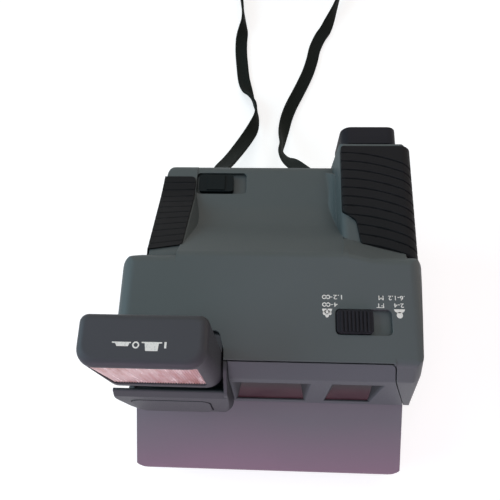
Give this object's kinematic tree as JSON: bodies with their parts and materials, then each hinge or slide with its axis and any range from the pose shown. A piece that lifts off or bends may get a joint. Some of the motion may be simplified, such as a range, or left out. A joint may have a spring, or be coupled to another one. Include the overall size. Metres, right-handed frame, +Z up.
{
  "type": "instant camera",
  "caption": "Instant camera for integral film with a pop-up flash, close-up slider, hinged film door with driven rollers, ribbed grips and a neck strap.",
  "frame": {"origin": "middle of the base's underside, below the deck", "axes": "+X to the finder side, -Y to the front where the lens looks and the picture leaves, +Z up"},
  "size_m": [0.13, 0.4018, 0.125],
  "materials": {
    "slate": "fine grained moulded plastic, slate grey",
    "slate_dark": "fine grained moulded plastic, darker slate grey",
    "black_plastic": "satin black moulded plastic",
    "grip_rubber": "matt black rubber",
    "window_glass": "coated clear plastic",
    "optic_glass": "clear plastic optic",
    "flash_glass": "ridged clear plastic",
    "mirror_glass": "front surface mirror",
    "bright_metal": "polished sheet",
    "steel": "bright steel",
    "plated": "plated spring contact",
    "gear_plastic": "natural acetal",
    "board": "green lacquered board",
    "capacitor": "shrink sleeve",
    "dial_white": "off-white plastic",
    "webbing": "woven black webbing"
  },
  "bodies": {
    "body": {"base_shell": "slate", "top_shell": "slate", "front_panel": "slate", "lens_window": "window_glass", "finder_window": "window_glass", "finder_tube": "black_plastic", "eyepiece_cup": "black_plastic", "eyepiece_lens": "optic_glass", "left_grip": "grip_rubber", "right_grip": "grip_rubber", "flash_pod": "slate_dark", "film_chamber": "black_plastic", "battery_contacts": "plated", "mirror_box": "black_plastic", "mirror": "mirror_glass", "lens_barrel": "black_plastic", "taking_lens": "optic_glass", "shutter_housing": "black_plastic", "light_sensor": "black_plastic", "circuit_board": "board", "flash_capacitor": "capacitor", "drive_motor": "steel", "gear_plate": "steel", "door_hinge_pins": "steel", "flash_spring": "steel", "counter_window": "optic_glass", "strap_lugs": "slate_dark", "screws": "steel", "strap_left_run": "webbing", "strap_right_run": "webbing", "strap_coil": "webbing"},
    "flash_head": {"flash_cover": "slate_dark", "flash_lens": "flash_glass", "flash_reflector": "bright_metal", "flash_tube": "optic_glass", "flash_carriage": "black_plastic"},
    "shutter_button": {"shutter_button": "slate_dark"},
    "flash_release": {"flash_release": "black_plastic"},
    "closeup_slider": {"closeup_slider": "black_plastic"},
    "closeup_arm": {"closeup_lens_arm": "black_plastic", "closeup_lens": "optic_glass"},
    "shutter_blade_a": {"shutter_blade_a": "black_plastic"},
    "shutter_blade_b": {"shutter_blade_b": "black_plastic"},
    "counter_dial": {"counter_dial": "dial_white"},
    "film_door": {"film_door": "slate", "roller_frame": "steel"},
    "door_latch": {"door_latch": "black_plastic"},
    "pick_arm": {"pick_arm": "steel"},
    "upper_roller": {"upper_roller": "steel", "upper_roller_gear": "gear_plastic"},
    "lower_roller": {"lower_roller": "steel", "lower_roller_gear": "gear_plastic"},
    "idler_gear": {"idler_gear": "gear_plastic"},
    "drive_gear": {"drive_gear": "gear_plastic"},
    "motor_pinion": {"motor_pinion": "gear_plastic"}
  },
  "joints": [
    {"name": "flash_slide", "type": "slide", "parent": "body", "child": "flash_head", "axis": [0, 0, 1], "range_m": [-0.024, 0], "stiffness_N_per_m": 70, "springref_m": 0.014, "deforming": ["flash_spring"]},
    {"name": "shutter_press", "type": "slide", "parent": "body", "child": "shutter_button", "axis": [0, 1, 0], "range_m": [0, 0.0018], "stiffness_N_per_m": 300, "springref_m": -0.001},
    {"name": "release_slide", "type": "slide", "parent": "body", "child": "flash_release", "axis": [1, 0, 0], "range_m": [0, 0.0045], "stiffness_N_per_m": 150, "springref_m": -0.002},
    {"name": "closeup_slide", "type": "slide", "parent": "body", "child": "closeup_slider", "axis": [1, 0, 0], "range_m": [0, 0.006]},
    {"name": "closeup_swing", "type": "hinge", "parent": "body", "child": "closeup_arm", "pos_m": [0.017, -0.03965, 0.086], "axis": [0, 1, 0], "range_deg": [0, 40]},
    {"name": "blade_a_swing", "type": "hinge", "parent": "body", "child": "shutter_blade_a", "pos_m": [-0.007, -0.0372, 0.062], "axis": [0, -1, 0], "range_deg": [0, 36]},
    {"name": "blade_b_swing", "type": "hinge", "parent": "body", "child": "shutter_blade_b", "pos_m": [0.009, -0.0379, 0.062], "axis": [0, -1, 0], "range_deg": [-36, 0]},
    {"name": "counter_spin", "type": "hinge", "parent": "body", "child": "counter_dial", "pos_m": [0.002, 0.0449, 0.062], "axis": [0, 1, 0], "range_deg": [0, 330]},
    {"name": "door_hinge", "type": "hinge", "parent": "body", "child": "film_door", "pos_m": [0, -0.0752, 0.0056], "axis": [1, 0, 0], "range_deg": [0, 90]},
    {"name": "latch_slide", "type": "slide", "parent": "body", "child": "door_latch", "axis": [0, 1, 0], "range_m": [0, 0.004], "stiffness_N_per_m": 200, "springref_m": -0.002},
    {"name": "pick_slide", "type": "slide", "parent": "body", "child": "pick_arm", "axis": [0, -1, 0], "range_m": [0, 0.006], "stiffness_N_per_m": 100, "springref_m": -0.002},
    {"name": "upper_roller_spin", "type": "hinge", "parent": "film_door", "child": "upper_roller", "pos_m": [0, -0.0672, 0.0253], "axis": [1, 0, 0], "continuous": true},
    {"name": "lower_roller_spin", "type": "hinge", "parent": "film_door", "child": "lower_roller", "pos_m": [0, -0.0672, 0.0149], "axis": [1, 0, 0], "continuous": true},
    {"name": "idler_spin", "type": "hinge", "parent": "body", "child": "idler_gear", "pos_m": [0, -0.0545, 0.0281], "axis": [1, 0, 0], "continuous": true},
    {"name": "drive_gear_spin", "type": "hinge", "parent": "body", "child": "drive_gear", "pos_m": [0, -0.03787, 0.03105], "axis": [1, 0, 0], "continuous": true},
    {"name": "pinion_spin", "type": "hinge", "parent": "body", "child": "motor_pinion", "pos_m": [0, -0.039, 0.044], "axis": [1, 0, 0], "continuous": true}
  ],
  "couplings": [
    {"joint": "closeup_swing", "follows": "closeup_slide", "rad_per_m": 116},
    {"joint": "blade_b_swing", "follows": "blade_a_swing", "ratio": -1},
    {"joint": "lower_roller_spin", "follows": "upper_roller_spin", "ratio": -1},
    {"joint": "idler_spin", "follows": "upper_roller_spin", "ratio": -0.66667},
    {"joint": "drive_gear_spin", "follows": "upper_roller_spin", "ratio": 0.57143},
    {"joint": "pinion_spin", "follows": "upper_roller_spin", "ratio": -1.3333}
  ]
}
